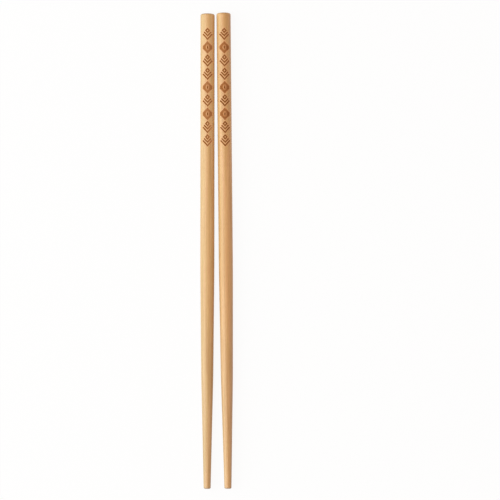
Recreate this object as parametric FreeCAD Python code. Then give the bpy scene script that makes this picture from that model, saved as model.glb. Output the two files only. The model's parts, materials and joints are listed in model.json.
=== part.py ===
# A pair of round bamboo chopsticks lying side by side on the plane z = 0, butts at +Y and tips at -Y.
# Each stick is one turned piece: a straight round grip, a slight taper along the shank, a stronger one to
# the tip, crowned ends, and a column of small ornaments burnt a little way into the grip's upper side.
import FreeCAD, Part
import math
import os

from FreeCAD import Placement, Rotation, Vector

# Length of the left stick, and how much longer the right one was cut at its butt, in millimetres
stick_length = 239.8
right_cut_longer = 0.4

# Turned outline, the same on both sticks
grip_diameter = 7.15
knee_diameter = 6.12
tip_diameter = 3.55
shoulder_from_tip = 111.2
shoulder_blend = 7.5
knee_from_tip = 56.5
knee_blend = 4.0
butt_crown = 0.45
butt_edge_round = 0.9
tip_crown = 0.2
tip_edge_round = 0.5

# How the two sticks lie
butt_gap = 0.9
tip_gap = 6.95
left_roll = -1.5
right_roll = 5.5

# Burnt ornaments, from the butt towards the tip, as far from the tip on both sticks
ornament_order = ("arrow", "eye", "arrow", "arrow", "eye", "arrow", "eye", "arrow", "arrow")
bare_butt = 7.65
ornament_pitch = 6.69
burn_depth = 0.18
stroke_width = 0.5

# The arrow ornament: a small diamond over two nested chevrons
small_diamond_width = 2.5
small_diamond_height = 2.65
inner_chevron_width = 3.8
inner_chevron_rise = 2.0
inner_chevron_point = 4.3
outer_chevron_width = 4.9
outer_chevron_rise = 2.8
outer_chevron_point = 6.08

# The eye ornament: a broad burnt diamond with its sides cut off, round a bare one that a slit divides in two
eye_width = 4.7
eye_height = 6.2
eye_side = 1.4
bare_eye_width = 1.9
bare_eye_height = 2.5
slit_width = 0.6

# Sizes that follow from those above
grip_radius = grip_diameter / 2
knee_radius = knee_diameter / 2
tip_radius = tip_diameter / 2
butt_spacing = grip_diameter + butt_gap
tip_spacing = tip_diameter + tip_gap
right_length = stick_length + right_cut_longer
half_splay = math.asin((tip_spacing - butt_spacing) / 2 / stick_length)
tips_at_y = -right_length * math.cos(half_splay) / 2


def tangent_arc(before, corner, after, tangent):
    """The arc that rounds a corner of an outline, touching both sides one tangent length away from it."""
    back = (before - corner).normalize()
    ahead = (after - corner).normalize()
    half_turn = (math.pi - back.getAngle(ahead)) / 2
    radius = tangent / math.tan(half_turn)
    depth = radius / math.cos(half_turn) - radius
    middle = corner + (back + ahead).normalize() * depth
    return Part.Arc(corner + back * tangent, middle, corner + ahead * tangent)


def crown_arc(edge, apex):
    """The arc from the edge of a crowned end to its outermost point, which lies on the axis."""
    crown = apex.y - edge.y
    radius = (edge.x**2 + crown**2) / (2 * crown)
    half_angle = math.asin(edge.x / radius) / 2
    middle = Vector(radius * math.sin(half_angle), apex.y - radius + radius * math.cos(half_angle), 0)
    return Part.Arc(edge, middle, apex)


def round_edge_at(solid, distance_from_tip, radius):
    """Round the circular edge that goes round the axis at one distance from the tip."""
    near = 1e-4

    def lies_there(edge):
        box = edge.BoundBox
        return box.YLength < near and abs(box.YMin - distance_from_tip) < near

    return solid.makeFillet(radius, [edge for edge in solid.Edges if lies_there(edge)])


def turned_blank(length):
    """The plain stick, turned about the Y axis, with its tip at the origin and its butt at +Y."""
    tip_apex = Vector(0, 0, 0)
    tip_edge = Vector(tip_radius, tip_crown, 0)
    knee = Vector(knee_radius, knee_from_tip, 0)
    shoulder = Vector(grip_radius, shoulder_from_tip, 0)
    butt_edge = Vector(grip_radius, length - butt_crown, 0)
    butt_apex = Vector(0, length, 0)
    knee_arc = tangent_arc(tip_edge, knee, shoulder, knee_blend)
    shoulder_arc = tangent_arc(knee, shoulder, butt_edge, shoulder_blend)
    outline = [
        crown_arc(tip_edge, tip_apex),
        Part.LineSegment(tip_edge, knee_arc.StartPoint),
        knee_arc,
        Part.LineSegment(knee_arc.EndPoint, shoulder_arc.StartPoint),
        shoulder_arc,
        Part.LineSegment(shoulder_arc.EndPoint, butt_edge),
        crown_arc(butt_edge, butt_apex),
        Part.LineSegment(butt_apex, tip_apex),
    ]
    section = Part.Face(Part.Wire([piece.toShape() for piece in outline]))
    blank = section.revolve(tip_apex, Vector(0, 1, 0), 360)
    blank = round_edge_at(blank, butt_edge.y, butt_edge_round)
    return round_edge_at(blank, tip_edge.y, tip_edge_round)


def outline_face(points):
    """A flat face in the plane of the axis, from the corners of its outline."""
    corners = [Vector(x, y, 0) for x, y in points]
    return Part.Face(Part.makePolygon(corners + corners[:1]))


def diamond(width, height, centre_y):
    """A solid diamond with its long way along the stick."""
    return outline_face(
        [
            (0, centre_y + height / 2),
            (width / 2, centre_y),
            (0, centre_y - height / 2),
            (-width / 2, centre_y),
        ]
    )


def diamond_line(width, height, centre_y):
    """A diamond drawn as one line of the stroke's width, measured over its outside."""
    side = math.hypot(width, height)
    inner_width = width - 2 * stroke_width * side / height
    inner_height = height - 2 * stroke_width * side / width
    return diamond(width, height, centre_y).cut(diamond(inner_width, inner_height, centre_y))


def chevron(width, rise, point_y):
    """A V drawn as one line, with its point towards the tip and its arms cut off square."""
    arm = math.hypot(width / 2, rise)
    across_x = stroke_width * rise / arm
    across_y = stroke_width * width / 2 / arm
    inner_point_y = point_y + stroke_width * arm / (width / 2)
    arm_y = point_y + rise
    return outline_face(
        [
            (0, point_y),
            (width / 2, arm_y),
            (width / 2 - across_x, arm_y + across_y),
            (0, inner_point_y),
            (across_x - width / 2, arm_y + across_y),
            (-width / 2, arm_y),
        ]
    )


def arrow_ornament(top_y):
    """The burnt areas of an arrow ornament that starts at top_y and points to the tip."""
    return [
        diamond_line(small_diamond_width, small_diamond_height, top_y - small_diamond_height / 2),
        chevron(inner_chevron_width, inner_chevron_rise, top_y - inner_chevron_point),
        chevron(outer_chevron_width, outer_chevron_rise, top_y - outer_chevron_point),
    ]


def eye_ornament(top_y):
    """The burnt area of an eye ornament that starts at top_y: a broad ring and a slit in its middle."""
    centre_y = top_y - eye_height / 2
    whole_eye = outline_face(
        [
            (0, centre_y + eye_height / 2),
            (eye_width / 2, centre_y + eye_side / 2),
            (eye_width / 2, centre_y - eye_side / 2),
            (0, centre_y - eye_height / 2),
            (-eye_width / 2, centre_y - eye_side / 2),
            (-eye_width / 2, centre_y + eye_side / 2),
        ]
    )
    bare_eye = diamond(bare_eye_width, bare_eye_height, centre_y)
    slit = outline_face(
        [
            (slit_width / 2, centre_y + bare_eye_height / 2),
            (slit_width / 2, centre_y - bare_eye_height / 2),
            (-slit_width / 2, centre_y - bare_eye_height / 2),
            (-slit_width / 2, centre_y + bare_eye_height / 2),
        ]
    )
    return [whole_eye.cut(bare_eye.cut(slit))]


def burnt_column():
    """Every burnt recess of one stick: the ornaments seen from above, as deep as the burn all over."""
    draw = {"arrow": arrow_ornament, "eye": eye_ornament}
    areas = []
    for place, name in enumerate(ornament_order):
        areas += draw[name](stick_length - bare_butt - place * ornament_pitch)
    unburnt_radius = grip_radius - burn_depth
    unburnt_core = Part.makeCylinder(unburnt_radius, stick_length, Vector(0, 0, 0), Vector(0, 1, 0))
    above_the_stick = Vector(0, 0, grip_diameter)
    return Part.makeCompound([area.extrude(above_the_stick).cut(unburnt_core) for area in areas])


def chopstick(length, roll, side):
    """One finished stick in its place; side is -1 on the left and 1 on the right."""
    stick = turned_blank(length).cut(burnt_column())
    rolled = Rotation(Vector(0, 1, 0), roll)
    turned_in = Rotation(Vector(0, 0, 1), side * math.degrees(half_splay))
    tip_at = Vector(side * tip_spacing / 2, tips_at_y, grip_radius)
    stick.Placement = Placement(tip_at, turned_in.multiply(rolled))
    return stick.Solids[0]


def main():
    sticks = {
        "left_stick": chopstick(stick_length, left_roll, -1),
        "right_stick": chopstick(right_length, right_roll, 1),
    }
    os.makedirs("parts", exist_ok=True)
    for name, solid in sticks.items():
        solid.exportStep(f"parts/{name}.step")


main()
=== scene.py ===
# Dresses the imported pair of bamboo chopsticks. Each stick becomes a fine mesh of the CAD's own outline,
# with its ornaments sunk and scorched into it and procedural bamboo on it. A pale floor, soft light and
# the photograph's camera stand round the pair.
import json
import math

import bpy
import numpy as np
from mathutils import Matrix, Vector


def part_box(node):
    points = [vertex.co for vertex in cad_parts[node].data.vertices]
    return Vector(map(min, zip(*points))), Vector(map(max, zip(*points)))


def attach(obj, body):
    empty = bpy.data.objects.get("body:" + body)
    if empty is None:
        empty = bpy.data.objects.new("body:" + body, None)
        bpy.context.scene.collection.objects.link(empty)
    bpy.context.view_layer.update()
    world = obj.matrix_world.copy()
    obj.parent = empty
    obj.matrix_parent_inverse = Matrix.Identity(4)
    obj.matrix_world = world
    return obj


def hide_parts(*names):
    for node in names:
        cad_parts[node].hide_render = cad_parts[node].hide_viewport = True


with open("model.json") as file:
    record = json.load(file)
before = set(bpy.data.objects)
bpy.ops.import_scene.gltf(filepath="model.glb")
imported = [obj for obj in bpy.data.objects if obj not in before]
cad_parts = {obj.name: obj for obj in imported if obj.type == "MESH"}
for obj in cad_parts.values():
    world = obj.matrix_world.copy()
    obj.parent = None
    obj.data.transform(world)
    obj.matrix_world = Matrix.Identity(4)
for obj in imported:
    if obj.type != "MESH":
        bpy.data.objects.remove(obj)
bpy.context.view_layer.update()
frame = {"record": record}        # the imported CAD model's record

mm = 0.001

# Turned outline, the same on both sticks, as the CAD has it; the grip's radius comes from the record
tip_radius = 1.775 * mm
knee_radius = 3.06 * mm
knee_from_tip = 56.5 * mm
knee_blend = 4.0 * mm
shoulder_from_tip = 111.2 * mm
shoulder_blend = 7.5 * mm
butt_crown = 0.45 * mm
butt_edge_round = 0.9 * mm
tip_crown = 0.2 * mm
tip_edge_round = 0.5 * mm

# Burnt ornaments, from the butt towards the tip, as the CAD has them
ornament_order = ("arrow", "eye", "arrow", "arrow", "eye", "arrow", "eye", "arrow", "arrow")
ornaments_from_tip = 232.15 * mm
ornament_pitch = 6.69 * mm
burn_depth = 0.18 * mm
stroke_width = 0.5 * mm
small_diamond_width = 2.5 * mm
small_diamond_height = 2.65 * mm
inner_chevron_width = 3.8 * mm
inner_chevron_rise = 2.0 * mm
inner_chevron_point = 4.3 * mm
outer_chevron_width = 4.9 * mm
outer_chevron_rise = 2.8 * mm
outer_chevron_point = 6.08 * mm
eye_width = 4.7 * mm
eye_height = 6.2 * mm
eye_side = 1.4 * mm
bare_eye_width = 1.9 * mm
bare_eye_height = 2.5 * mm
slit_width = 0.6 * mm

# How hot the burn was: even in an arrow; in an eye it grows towards the sides and the lower point, fades at
# the outline and round the bare eye, and is hottest in the middle of the slit
arrow_heat = 0.86
eye_heat = 0.68
lobe_heat = 0.12
lobe_start = 0.8 * mm
lower_heat = 0.1
outline_fade = 0.3
outline_fade_breadth = 0.45 * mm
lens_fade = 0.8
lens_width = 2.6 * mm
lens_height = 3.6 * mm
slit_heat = 1.35
hot_slit_width = 1.0 * mm
hot_slit_height = 2.2 * mm
bare_eye_toasting = 0.5

# Mesh spacing: fine where the ornaments are, coarse elsewhere
fine_step = 0.1 * mm
coarse_step = 1.2 * mm
ornament_margin = 0.5 * mm
ornament_sector = math.radians(49)
fine_columns = 56
coarse_columns = 42
round_steps = 7
face_rings = 6

# Colours of the bamboo as an ordinary picture shows them, from 0 to 255: its long bands, what lies on them,
# the cut ends with their fibres (darker partly as end grain and partly as painted shade), a painted grey
# shade on the tip's rounded edge, and wood that a burn close by has warmed
band_colours = (
    (196, 150, 95),
    (209, 165, 108),
    (205, 164, 103),
    (218, 174, 118),
    (213, 164, 112),
    (222, 180, 124),
    (206, 158, 103),
)
streak_colour = (188, 140, 84)
fleck_colour = (150, 100, 56)
fibre_colour = (160, 108, 58)
# Cut ends darker, partly as end grain and partly as painted shade of their rounded edges
end_grain_and_shade_colour = (168, 124, 80)
end_fibre_colour = (92, 58, 32)
# Painted shade: a grey band on the tip's rounded edge
painted_tip_shade_colour = (156, 134, 108)
warmed_colour = (234, 170, 118)

# How much of each of those colours there is at most
streak_share = 0.25
fleck_share = 0.4
fibre_share = 0.45
end_fibre_share = 0.85
# Partly end grain, partly painted shade of the rounded ends
end_grain_and_shade_share = 0.6
# Painted shade on the tip's rounded edge
painted_tip_shade_share = 0.6
warmed_share = 0.42

# Tints that the wood's colour is multiplied by: none on the upper side, between the sides' painted light and
# shade, and a cooler one towards the tip
no_tint = (1, 1, 1, 1)
tip_tint = (0.96, 1.0, 1.1, 1)

# How far each kind of mark runs along the grain, in millimetres, and how many lie side by side in one
fibre_run = 400.0
fibres_across = 1.7
band_run = 45.0
bands_across = 1.0
fleck_run = 22.0
flecks_across = 9.0
streak_run = 14.0
streaks_across = 5.0
relief_run = 10.0
relief_across = 7.0
wobble_run = 1.0
wobbles_across = 3.0

# How far from the tip the wood's colour, the tip's painted shade and the sides' painted light and shade
# change, in millimetres
painted_tip_shade_from_tip = 1.2
tip_tint_from_tip = 110.0
full_tip_tint_from_tip = 40.0
# On the right side: painted light from the first of these on to the butt, painted shade from the tip up to
# the second, blended between
flank_painted_light_from_tip = 150.0
flank_painted_shade_from_tip = 60.0

# How far a burn shows round its recess, in millimetres, and how uneven its outline is
warmed_reach = 0.65
scorched_reach = 0.2
burn_wobble = 0.06

# How far apart in the noise the marks of two seeds are taken from
seed_offset = (17.3, 5.1, 11.9)

# Surface: satin where bare, smoothest where the grain is raised, and matt where burnt
hollow_roughness = 0.52
raised_roughness = 0.42
burnt_roughness_more = 0.25
bare_gloss = 0.8
burnt_gloss_less = 0.75
sheen = 0.3
sheen_roughness = 0.4
grain_strength = 0.25
grain_height = 0.04 * mm

# Floor, light and camera; the white share is how much of the floor is plain white to the eye
floor_size = 4.0
floor_colour = (0.92, 0.92, 0.92, 1)
white = (1, 1, 1, 1)
white_share = 0.93
fill_colour = (1.0, 0.74, 0.6, 1)
fill_strength = 0.54
key_colour = (0.84, 0.97, 1.0)
key_power = 20.5
key_size = 2.0
key_distance = 1.2
key_elevation = math.radians(40)
camera_from_axes = 0.9
sensor_width = 36.0
seen_width = 252.3 * mm
camera_right_of_pair = 16.88 * mm
camera_above_middle = 0.29 * mm
camera_roll = math.radians(-0.24)


def past_corner(y, corner, blend):
    """How far y is past a corner of the outline, eased over the blend to each side of it."""
    eased = np.clip(y - corner + blend, 0, 2 * blend)
    return eased**2 / (4 * blend) + np.maximum(y - corner - blend, 0)


def tip_slope():
    """How fast the radius grows from the tip to the knee."""
    return (knee_radius - tip_radius) / (knee_from_tip - tip_crown)


def side_radius(y, grip_radius):
    """Radius of the stick's side at a distance y from the tip."""
    shank_slope = (grip_radius - knee_radius) / (shoulder_from_tip - knee_from_tip)
    knee = (shank_slope - tip_slope()) * past_corner(y, knee_from_tip, knee_blend)
    shoulder = -shank_slope * past_corner(y, shoulder_from_tip, shoulder_blend)
    return tip_radius + tip_slope() * (y - tip_crown) + knee + shoulder


def spaced(start, end, step):
    """Even places from start up to, but not at, end, about one step apart."""
    return np.linspace(start, end, max(1, round((end - start) / step)), endpoint=False)


def crowned_end(edge_radius, slope, crown, edge_round):
    """Radius and depth of the rings of a crowned end with a rounded edge, from its side to near its apex."""
    crown_radius = (edge_radius**2 + crown**2) / (2 * crown)
    side_lean = math.atan(slope)
    reach = crown_radius - edge_round
    side_from_centre = edge_radius * math.cos(side_lean) + (crown_radius - crown) * math.sin(side_lean)
    meeting = math.asin((side_from_centre - edge_round) / reach) - side_lean
    turn = np.linspace(math.pi / 2 - side_lean, meeting, round_steps, endpoint=False)
    lean = np.linspace(meeting, 0, face_rings, endpoint=False)
    round_radius = reach * math.sin(meeting) + edge_round * np.sin(turn)
    round_height = reach * math.cos(meeting) + edge_round * np.cos(turn)
    radius = np.concatenate([round_radius, crown_radius * np.sin(lean)])
    height = np.concatenate([round_height, crown_radius * np.cos(lean)])
    return radius, crown_radius - height


def outline(length, grip_radius):
    """Radius and distance from the tip of every ring of the stick, from the tip to the butt."""
    tip_radii, tip_depth = crowned_end(tip_radius, tip_slope(), tip_crown, tip_edge_round)
    butt_radii, butt_depth = crowned_end(grip_radius, 0.0, butt_crown, butt_edge_round)
    ornaments_start = ornaments_from_tip - len(ornament_order) * ornament_pitch - ornament_margin
    ornaments_end = ornaments_from_tip + ornament_margin
    side = np.concatenate(
        [
            spaced(tip_depth[0], ornaments_start, coarse_step)[1:],
            spaced(ornaments_start, ornaments_end, fine_step),
            spaced(ornaments_end, length - butt_depth[0], coarse_step),
        ]
    )
    radius = np.concatenate([tip_radii[::-1], side_radius(side, grip_radius), butt_radii])
    return radius, np.concatenate([tip_depth[::-1], side, length - butt_depth])


def columns():
    """Angles of the lengthwise lines of the mesh, from the top of the stick towards +X and on round it."""
    fine = np.linspace(-ornament_sector, ornament_sector, fine_columns, endpoint=False)
    coarse = np.linspace(ornament_sector, 2 * math.pi - ornament_sector, coarse_columns, endpoint=False)
    return np.concatenate([fine, coarse])


def diamond(x, y, width, height):
    """Distance to the edge of a diamond round the origin, negative inside it."""
    half_side = math.hypot(width, height) / 2
    return (np.abs(x) * height / 2 + np.abs(y) * width / 2 - width * height / 4) / half_side


def diamond_line(x, y, width, height):
    """Distance to a diamond drawn as one line, measured over its outside."""
    return np.abs(diamond(x, y, width, height) + stroke_width / 2) - stroke_width / 2


def chevron(x, y, width, rise):
    """Distance to a V drawn as one line, with its point at the origin and its arms rising to +y."""
    arm = math.hypot(width / 2, rise)
    across = (y * width / 2 - np.abs(x) * rise) / arm
    along = (np.abs(x) * width / 2 + y * rise) / arm
    return np.maximum.reduce([-across, across - stroke_width, along - arm])


def arrow_ornament(x, y):
    """Distance to an arrow ornament that hangs down from the origin, its heat and its toasting."""
    distance = np.minimum.reduce(
        [
            diamond_line(x, y + small_diamond_height / 2, small_diamond_width, small_diamond_height),
            chevron(x, y + inner_chevron_point, inner_chevron_width, inner_chevron_rise),
            chevron(x, y + outer_chevron_point, outer_chevron_width, outer_chevron_rise),
        ]
    )
    return distance, np.full_like(x, arrow_heat), np.zeros_like(x)


def soft_oval(x, y, width, height):
    """1 in the middle third of an oval round the origin, falling to 0 at its edge."""
    from_middle = 2 * np.hypot(x / width, y / height)
    return np.interp(from_middle, [1 / 3, 1], [1, 0])


def eye_ornament(x, y):
    """Distance to an eye ornament that hangs down from the origin, its heat and its toasting."""
    y = y + eye_height / 2
    uncut_width = eye_width * eye_height / (eye_height - eye_side)
    whole = np.maximum(diamond(x, y, uncut_width, eye_height), np.abs(x) - eye_width / 2)
    bare = np.maximum(diamond(x, y, bare_eye_width, bare_eye_height), slit_width / 2 - np.abs(x))
    heat = eye_heat + np.interp(np.abs(x), [lobe_start, eye_width / 2], [0, lobe_heat])
    heat = heat + np.interp(-y, [0, eye_height / 2], [0, lower_heat])
    heat = heat - outline_fade * np.clip(1 + whole / outline_fade_breadth, 0, 1)
    heat = heat - lens_fade * soft_oval(x, y, lens_width, lens_height)
    heat = heat + slit_heat * soft_oval(x, y, hot_slit_width, hot_slit_height)
    return np.maximum(whole, -bare), heat, (bare < 0) * bare_eye_toasting


def burnt_column(x, y, tones, leans):
    """Distance to the nearest burnt area, negative inside it, its heat and how toasted bare wood is.

    A tone is how strongly an ornament was burnt as a whole, and a lean how much more so on its right side.
    """
    draw = {"arrow": arrow_ornament, "eye": eye_ornament}
    distance = np.full_like(x, ornament_pitch)
    heat = np.zeros_like(x)
    toasted = np.zeros_like(x)
    for place, name in enumerate(ornament_order):
        own_y = y - ornaments_from_tip + place * ornament_pitch
        own_distance, own_heat, own_toasted = draw[name](x, own_y)
        own_heat = own_heat * tones[place] + leans[place] * x / (outer_chevron_width / 2)
        heat = np.where(own_distance < distance, own_heat, heat)
        distance = np.minimum(distance, own_distance)
        toasted = np.maximum(toasted, own_toasted)
    return distance, heat, toasted


def ring_faces(rings, around):
    """Faces of a closed form of rings of vertices, with a single vertex at its start and at its end."""
    here = np.arange(around)
    ahead = (here + 1) % around
    ring_starts = 1 + np.arange(rings - 1)[:, None] * around
    first = ring_starts + here
    second = ring_starts + ahead
    quads = np.stack([first, second, second + around, first + around], axis=-1).reshape(-1, 4)
    last = 1 + rings * around
    start_fan = [(0, 1 + b, 1 + a) for a, b in zip(here, ahead)]
    end_fan = [(last - around + a, last - around + b, last) for a, b in zip(here, ahead)]
    return quads.tolist() + start_fan + end_fan


def store(mesh, name, at_tip, values, at_butt):
    """Keeps one number for each vertex of the mesh, for its material to read."""
    attribute = mesh.attributes.new(name, "FLOAT", "POINT")
    every = np.concatenate([[at_tip], values.ravel(), [at_butt]])
    attribute.data.foreach_set("value", every.astype(np.float32))


def store_places(mesh, corners):
    """Keeps each vertex's place in the stick's own frame, in millimetres, for the grain to follow."""
    attribute = mesh.attributes.new("in_stick", "FLOAT_VECTOR", "POINT")
    attribute.data.foreach_set("vector", (corners / mm).ravel().astype(np.float32))


def stick_mesh(name, length, grip_radius, tones, leans):
    """The stick in its own frame, with its tip at the origin, its butt at +Y and its ornaments on top."""
    radius, along = outline(length, grip_radius)
    angle = columns()
    ring_radius, turn = np.meshgrid(radius, angle, indexing="ij")
    ring_along = np.repeat(along[:, None], len(angle), axis=1)
    beside_the_stick = 2 * grip_radius
    seen_x = np.where(np.cos(turn) > 0, grip_radius * np.sin(turn), beside_the_stick)
    distance, heat, toasted = burnt_column(seen_x, ring_along, tones, leans)
    # A recess has a wall one fine step wide
    sunk = np.clip(0.5 - distance / fine_step, 0, 1) * burn_depth
    out = ring_radius - sunk
    rings = np.stack([out * np.sin(turn), ring_along, out * np.cos(turn)], axis=-1).reshape(-1, 3)
    corners = np.concatenate([[[0, 0, 0]], rings, [[0, length, 0]]])
    mesh = bpy.data.meshes.new(name)
    mesh.from_pydata(corners.tolist(), [], ring_faces(len(radius), len(angle)))
    mesh.shade_smooth()
    store_places(mesh, corners)
    facing_end = np.abs(np.gradient(radius)) / np.hypot(np.gradient(radius), np.gradient(along))
    facing_end = np.repeat(facing_end[:, None], len(angle), axis=1)
    store(mesh, "burn_distance", 1, distance / mm, 1)
    store(mesh, "scorch", 0, heat, 0)
    store(mesh, "toasted", 0, toasted, 0)
    store(mesh, "facing_end", 1, facing_end, 1)
    # How far round to the right each vertex lies, which places the painted light and shade on the sides
    store(mesh, "to_right", 0, np.sin(turn), 0)
    return mesh


def srgb(red, green, blue):
    """A colour for a shader socket from a picture's 0 to 255 values, by the sRGB standard's own curve."""
    shares = np.array([red, green, blue]) / 255
    linear = np.where(shares <= 0.04045, shares / 12.92, ((shares + 0.055) / 1.055) ** 2.4)
    return (*linear.tolist(), 1.0)


def add_node(tree, kind, inputs, **settings):
    """A new node; inputs maps the names or numbers of its sockets to values or to other nodes' outputs."""
    made = tree.nodes.new(kind)
    for name, value in settings.items():
        setattr(made, name, value)
    for name, value in inputs.items():
        if isinstance(value, bpy.types.NodeSocket):
            tree.links.new(value, made.inputs[name])
        else:
            made.inputs[name].default_value = value
    return made


def arithmetic(tree, operation, first, second):
    """The result of a sum, product or other operation on two values."""
    return add_node(tree, "ShaderNodeMath", {0: first, 1: second}, operation=operation).outputs[0]


def remap(tree, value, start, end, low=0.0, high=1.0):
    """The value eased from low at start to high at end, and held outside them."""
    inputs = {"Value": value, "From Min": start, "From Max": end, "To Min": low, "To Max": high}
    return add_node(tree, "ShaderNodeMapRange", inputs, interpolation_type="SMOOTHSTEP").outputs["Result"]


def mix_colours(tree, share, first, second, blend="MIX"):
    """The first colour with a share of the second one in it."""
    inputs = {0: share, 6: first, 7: second}
    return add_node(tree, "ShaderNodeMix", inputs, data_type="RGBA", blend_type=blend).outputs[2]


def tinted(tree, colour, tint, share=1.0):
    """The colour multiplied by a tint, or by a share of it."""
    return mix_colours(tree, share, colour, tint, blend="MULTIPLY")


def noise(tree, place, scale, detail=2.0):
    """Cloudy random values round 0.5 over a place."""
    inputs = {"Vector": place, "Scale": scale, "Detail": detail}
    return add_node(tree, "ShaderNodeTexNoise", inputs).outputs[0]


def colour_bands(tree, value, colours):
    """A colour from an even row of colours that run smoothly into each other."""
    ramp = add_node(tree, "ShaderNodeValToRGB", {"Fac": value})
    stops = ramp.color_ramp.elements
    while len(stops) < len(colours):
        stops.new(1.0)
    for place, colour in enumerate(colours):
        stops[place].position = place / (len(colours) - 1)
        stops[place].color = colour
    return ramp.outputs["Color"]


def attribute(tree, name):
    """One of the numbers that the mesh keeps for each vertex."""
    return add_node(tree, "ShaderNodeAttribute", {}, attribute_name=name).outputs["Fac"]


def place_in_stick(tree):
    """The place in the stick's own frame, in millimetres."""
    return add_node(tree, "ShaderNodeAttribute", {}, attribute_name="in_stick").outputs["Vector"]


def grain_place(tree, seed, slant, run):
    """The place in the wood, in units of a millimetre across the grain and of one run along it."""
    offset = [seed * part for part in seed_offset]
    inputs = {"Vector": place_in_stick(tree), "Location": offset, "Rotation": slant, "Scale": (1.0, run, 1.0)}
    return add_node(tree, "ShaderNodeMapping", inputs, vector_type="TEXTURE").outputs["Vector"]


def fibres(tree, seed, slant):
    """Where the bamboo's own fibre bundles lie: up to 1 on a bundle, each its own strength, and 0 between."""
    place = grain_place(tree, seed, slant, fibre_run)
    cells = add_node(tree, "ShaderNodeTexVoronoi", {"Vector": place, "Scale": fibres_across})
    core = remap(tree, cells.outputs["Distance"], start=0.42, end=0.12)
    strength = add_node(tree, "ShaderNodeSeparateColor", {"Color": cells.outputs["Color"]}).outputs[0]
    return arithmetic(tree, "MULTIPLY", core, strength)


def clean_wood(tree, seed, slant, fibre):
    """Colour of the clean wood: long soft bands, fine streaks, cut ends darker partly as end grain and partly
    as painted shade, fibres and small flecks.
    """
    bands = noise(tree, grain_place(tree, seed, slant, band_run), bands_across, detail=1.5)
    bands = remap(tree, bands, start=0.25, end=0.75)
    colour = colour_bands(tree, bands, [srgb(*band) for band in band_colours])
    streaks = noise(tree, grain_place(tree, seed + 1, slant, streak_run), streaks_across)
    streaks = remap(tree, streaks, start=0.4, end=0.75, high=streak_share)
    colour = mix_colours(tree, streaks, colour, srgb(*streak_colour))
    # The ends darker, partly as end grain and partly as painted shade of their rounded edges
    end = attribute(tree, "facing_end")
    end_grain_and_shade = remap(tree, end, start=0.1, end=0.8, high=end_grain_and_shade_share)
    colour = mix_colours(tree, end_grain_and_shade, colour, srgb(*end_grain_and_shade_colour))
    cut_across = remap(tree, end, start=0.5, end=0.95)
    own_fibre_colour = mix_colours(tree, cut_across, srgb(*fibre_colour), srgb(*end_fibre_colour))
    own_fibre_share = remap(tree, end, start=0.5, end=0.95, low=fibre_share, high=end_fibre_share)
    own_fibre_share = arithmetic(tree, "MULTIPLY", fibre, own_fibre_share)
    colour = mix_colours(tree, own_fibre_share, colour, own_fibre_colour)
    flecks = noise(tree, grain_place(tree, seed + 4, slant, fleck_run), flecks_across, detail=3.0)
    flecks = remap(tree, flecks, start=0.6, end=0.72, high=fleck_share)
    return mix_colours(tree, flecks, colour, srgb(*fleck_colour))


def painted_flank_light_and_shade(tree, from_tip, left, painted_light_right_of_grip, painted_shade_right_of_tip):
    """Painted light and shade for the sides: a painted highlight on the left, and on the right painted light
    along the grip and painted shade at the tip.
    """
    to_right = attribute(tree, "to_right")
    towards_grip = remap(tree, from_tip, start=flank_painted_shade_from_tip, end=flank_painted_light_from_tip)
    right = mix_colours(tree, towards_grip, painted_shade_right_of_tip, painted_light_right_of_grip)
    tint = mix_colours(tree, remap(tree, to_right, start=0.1, end=0.75), no_tint, right)
    return mix_colours(tree, remap(tree, to_right, start=-0.2, end=-0.8), tint, left)


def shaded_wood(tree, colour, tone, flank_painted_light_and_shade):
    """The wood's colour with the stick's own tone, the change along it, painted light and shade on its sides,
    and painted shade on the tip's rounded edge.
    """
    colour = tinted(tree, colour, tone)
    from_tip = add_node(tree, "ShaderNodeSeparateXYZ", {"Vector": place_in_stick(tree)}).outputs["Y"]
    towards_tip = remap(tree, from_tip, start=tip_tint_from_tip, end=full_tip_tint_from_tip)
    colour = tinted(tree, colour, tip_tint, share=towards_tip)
    colour = tinted(tree, colour, painted_flank_light_and_shade(tree, from_tip, **flank_painted_light_and_shade))
    # Painted shade: a grey band on the tip's rounded edge
    painted_tip_shade = remap(tree, from_tip, start=painted_tip_shade_from_tip, end=0.3, high=painted_tip_shade_share)
    return mix_colours(tree, painted_tip_shade, colour, srgb(*painted_tip_shade_colour))


def burn_distance(tree, seed, slant):
    """Distance to the nearest burnt area in millimetres, a little uneven as the wood takes the burn."""
    wobble = noise(tree, grain_place(tree, seed, slant, wobble_run), wobbles_across)
    wobble = remap(tree, wobble, start=0.0, end=1.0, low=-burn_wobble, high=burn_wobble)
    return arithmetic(tree, "ADD", attribute(tree, "burn_distance"), wobble)


def burn_share(tree, distance, heat):
    """How burnt the surface is: 1 inside a hot burn, 0 a little way outside it or where it stayed cool."""
    near = remap(tree, distance, start=scorched_reach, end=-0.02)
    return arithmetic(tree, "MULTIPLY", near, remap(tree, heat, start=-0.1, end=0.45))


def scorched(tree, colour, distance, heat, burnt, burn_colour, dark_burn_colour):
    """The wood's colour, warmed near a burn, toasted in an eye and scorched where the surface is burnt."""
    warmed = remap(tree, distance, start=warmed_reach, end=0.15, high=warmed_share)
    colour = mix_colours(tree, warmed, colour, srgb(*warmed_colour))
    colour = mix_colours(tree, attribute(tree, "toasted"), colour, burn_colour)
    hot = remap(tree, heat, start=0.3, end=1.1)
    return mix_colours(tree, burnt, colour, mix_colours(tree, hot, burn_colour, dark_burn_colour))


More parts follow.
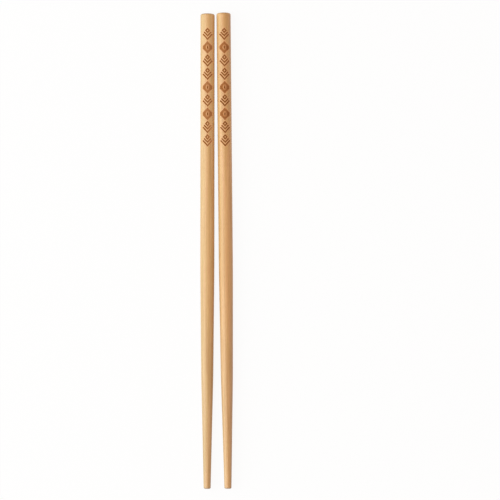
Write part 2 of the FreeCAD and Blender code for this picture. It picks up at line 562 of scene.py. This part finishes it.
def finish_surface(tree, shader, relief, fibre, burnt):
    """Satin with a fine grain on bare wood, rougher and without gloss where it is burnt."""
    satin = remap(tree, relief, start=0.3, end=0.7, low=hollow_roughness, high=raised_roughness)
    rougher = arithmetic(tree, "MULTIPLY", burnt, burnt_roughness_more)
    tree.links.new(arithmetic(tree, "ADD", satin, rougher), shader.inputs["Roughness"])
    inputs = {
        "Height": arithmetic(tree, "SUBTRACT", relief, fibre),
        "Strength": grain_strength,
        "Distance": grain_height,
    }
    bump = add_node(tree, "ShaderNodeBump", inputs)
    tree.links.new(bump.outputs["Normal"], shader.inputs["Normal"])
    matt = arithmetic(tree, "MAXIMUM", burnt, attribute(tree, "toasted"))
    lost_gloss = arithmetic(tree, "MULTIPLY", matt, burnt_gloss_less)
    tree.links.new(arithmetic(tree, "SUBTRACT", bare_gloss, lost_gloss), shader.inputs["Specular IOR Level"])
    shader.inputs["Sheen Weight"].default_value = sheen
    shader.inputs["Sheen Roughness"].default_value = sheen_roughness


def bamboo(name, seed, slant, tone, flank_painted_light_and_shade, burn_colour, dark_burn_colour):
    """Satin bamboo with scorched ornaments where the mesh says they are."""
    material = bpy.data.materials.new(name)
    material.use_nodes = True
    tree = material.node_tree
    shader = tree.nodes["Principled BSDF"]
    fibre = fibres(tree, seed, slant)
    colour = shaded_wood(tree, clean_wood(tree, seed, slant, fibre), tone, flank_painted_light_and_shade)
    distance = burn_distance(tree, seed + 2, slant)
    heat = attribute(tree, "scorch")
    burnt = burn_share(tree, distance, heat)
    colour = scorched(tree, colour, distance, heat, burnt, burn_colour, dark_burn_colour)
    tree.links.new(colour, shader.inputs["Base Color"])
    relief = noise(tree, grain_place(tree, seed + 3, slant, relief_run), relief_across)
    finish_surface(tree, shader, relief, fibre, burnt)
    return material


def stick(node, mount, roll, tones, leans, material):
    """One finished stick in the place of its CAD node."""
    low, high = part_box(node)
    axis = Vector(mount["axis"])
    on_axis = Vector(mount["pos_m"])
    tip = on_axis + axis * ((low.y - on_axis.y) / axis.y)
    length = (high.y - low.y) / axis.y
    mesh = stick_mesh(node, length, mount["dims"]["r_mm"] * mm, tones, leans)
    turned_in = Vector((0, 1, 0)).rotation_difference(axis).to_matrix().to_4x4()
    rolled = Matrix.Rotation(math.radians(roll), 4, "Y")
    mesh.transform(Matrix.Translation(tip) @ turned_in @ rolled)
    mesh.materials.append(material)
    made = bpy.data.objects.new("dressed_" + node, mesh)
    bpy.context.scene.collection.objects.link(made)
    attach(made, "root")
    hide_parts(node)


def build_pair():
    """Both sticks, each rolled until its ornaments sit as seen, with its own grain and uneven burns."""
    mounts = {mount["name"]: mount for mount in frame["record"]["mounts"]}
    stick(
        "left_stick",
        mounts["left_grip"],
        roll=2.4,
        tones=(0.85, 0.9, 0.95, 0.9, 0.9, 0.9, 0.9, 0.85, 0.85),
        leans=(-0.2, -0.1, -0.2, -0.2, -0.1, -0.2, -0.1, -0.6, -0.5),
        material=bamboo(
            "bamboo_left",
            seed=1,
            slant=(0.004, 0, 0.006),
            tone=(1.0, 1.0, 0.93, 1),
            # Painted light and shade on the sides: a painted highlight on the left, painted light on the
            # right along the grip and painted shade on the right near the tip
            flank_painted_light_and_shade={
                "left": (0.95, 1.04, 1.17, 1),
                "painted_light_right_of_grip": (1.09, 1.17, 1.3, 1),
                "painted_shade_right_of_tip": (0.93, 0.97, 1.02, 1),
            },
            burn_colour=srgb(188, 132, 86),
            dark_burn_colour=srgb(138, 82, 20),
        ),
    )
    stick(
        "right_stick",
        mounts["right_grip"],
        roll=5.5,
        tones=(0.85, 0.9, 0.85, 0.9, 0.95, 1.0, 0.95, 0.9, 0.9),
        leans=(-0.1, 0.0, -0.15, -0.1, -0.05, -0.1, 0.0, -0.05, -0.1),
        material=bamboo(
            "bamboo_right",
            seed=2,
            slant=(-0.005, 0, 0.004),
            tone=(0.98, 0.91, 0.8, 1),
            # Painted light and shade on the sides: a painted highlight on the left, painted light on the
            # right along the grip and painted shade on the right near the tip
            flank_painted_light_and_shade={
                "left": (1.11, 1.26, 1.5, 1),
                "painted_light_right_of_grip": (1.05, 1.08, 1.08, 1),
                "painted_shade_right_of_tip": (0.87, 0.88, 0.9, 1),
            },
            burn_colour=srgb(182, 122, 76),
            dark_burn_colour=srgb(124, 72, 14),
        ),
    )


def background_rays(tree):
    """1 for rays that look at the background, by eye, in a gloss or through glass, and 0 for other rays."""
    path = add_node(tree, "ShaderNodeLightPath", {}).outputs
    seen = arithmetic(tree, "MAXIMUM", path["Is Camera Ray"], path["Is Glossy Ray"])
    return arithmetic(tree, "MAXIMUM", seen, path["Is Transmission Ray"])


def build_floor():
    """A wide pale floor under the pair, near white to the eye, which keeps the pair's soft shadow."""
    half = floor_size / 2
    mesh = bpy.data.meshes.new("floor")
    corners = [(-half, -half, 0), (half, -half, 0), (half, half, 0), (-half, half, 0)]
    mesh.from_pydata(corners, [], [(0, 1, 2, 3)])
    material = bpy.data.materials.new("floor")
    material.use_nodes = True
    tree = material.node_tree
    tree.nodes.clear()
    matt = add_node(tree, "ShaderNodeBsdfDiffuse", {"Color": floor_colour})
    plain = add_node(tree, "ShaderNodeEmission", {"Color": white, "Strength": 1.0})
    share = arithmetic(tree, "MULTIPLY", background_rays(tree), white_share)
    surface = add_node(tree, "ShaderNodeMixShader", {0: share, 1: matt.outputs[0], 2: plain.outputs[0]})
    add_node(tree, "ShaderNodeOutputMaterial", {"Surface": surface.outputs[0]})
    mesh.materials.append(material)
    floor = bpy.data.objects.new("floor", mesh)
    bpy.context.scene.collection.objects.link(floor)


def build_world():
    """Even light from all round, in front of a background that is white to the eye."""
    world = bpy.data.worlds.new("studio")
    world.use_nodes = True
    tree = world.node_tree
    fill = tree.nodes["Background"]
    fill.inputs["Color"].default_value = fill_colour
    fill.inputs["Strength"].default_value = fill_strength
    plain = add_node(tree, "ShaderNodeBackground", {"Color": white, "Strength": 1.0})
    both = {0: background_rays(tree), 1: fill.outputs[0], 2: plain.outputs[0]}
    shown = add_node(tree, "ShaderNodeMixShader", both)
    tree.links.new(shown.outputs[0], tree.nodes["World Output"].inputs["Surface"])
    bpy.context.scene.world = world


def build_key_light():
    """One large soft light to the left of the pair, well above it."""
    light = bpy.data.lights.new("key", "AREA")
    light.shape = "DISK"
    light.size = key_size
    light.energy = key_power
    light.color = key_colour
    place = Vector((-math.cos(key_elevation), 0, math.sin(key_elevation))) * key_distance
    lamp = bpy.data.objects.new("key", light)
    lamp.location = place
    lamp.rotation_euler = (-place).to_track_quat("-Z", "Y").to_euler()
    lamp.visible_camera = False
    bpy.context.scene.collection.objects.link(lamp)


def build_camera():
    """The photograph's camera, straight above the middle of the picture, which is right of the pair."""
    camera = bpy.data.cameras.new("camera")
    camera.sensor_width = sensor_width
    camera.lens = sensor_width * camera_from_axes / seen_width
    made = bpy.data.objects.new("camera", camera)
    axes_height = frame["record"]["mounts"][0]["pos_m"][2]
    made.location = (camera_right_of_pair, camera_above_middle, axes_height + camera_from_axes)
    made.rotation_euler = (0, 0, camera_roll)
    bpy.context.scene.collection.objects.link(made)
    bpy.context.scene.camera = made


build_pair()
build_floor()
build_world()
build_key_light()
build_camera()
bpy.context.scene.view_settings.view_transform = "Standard"
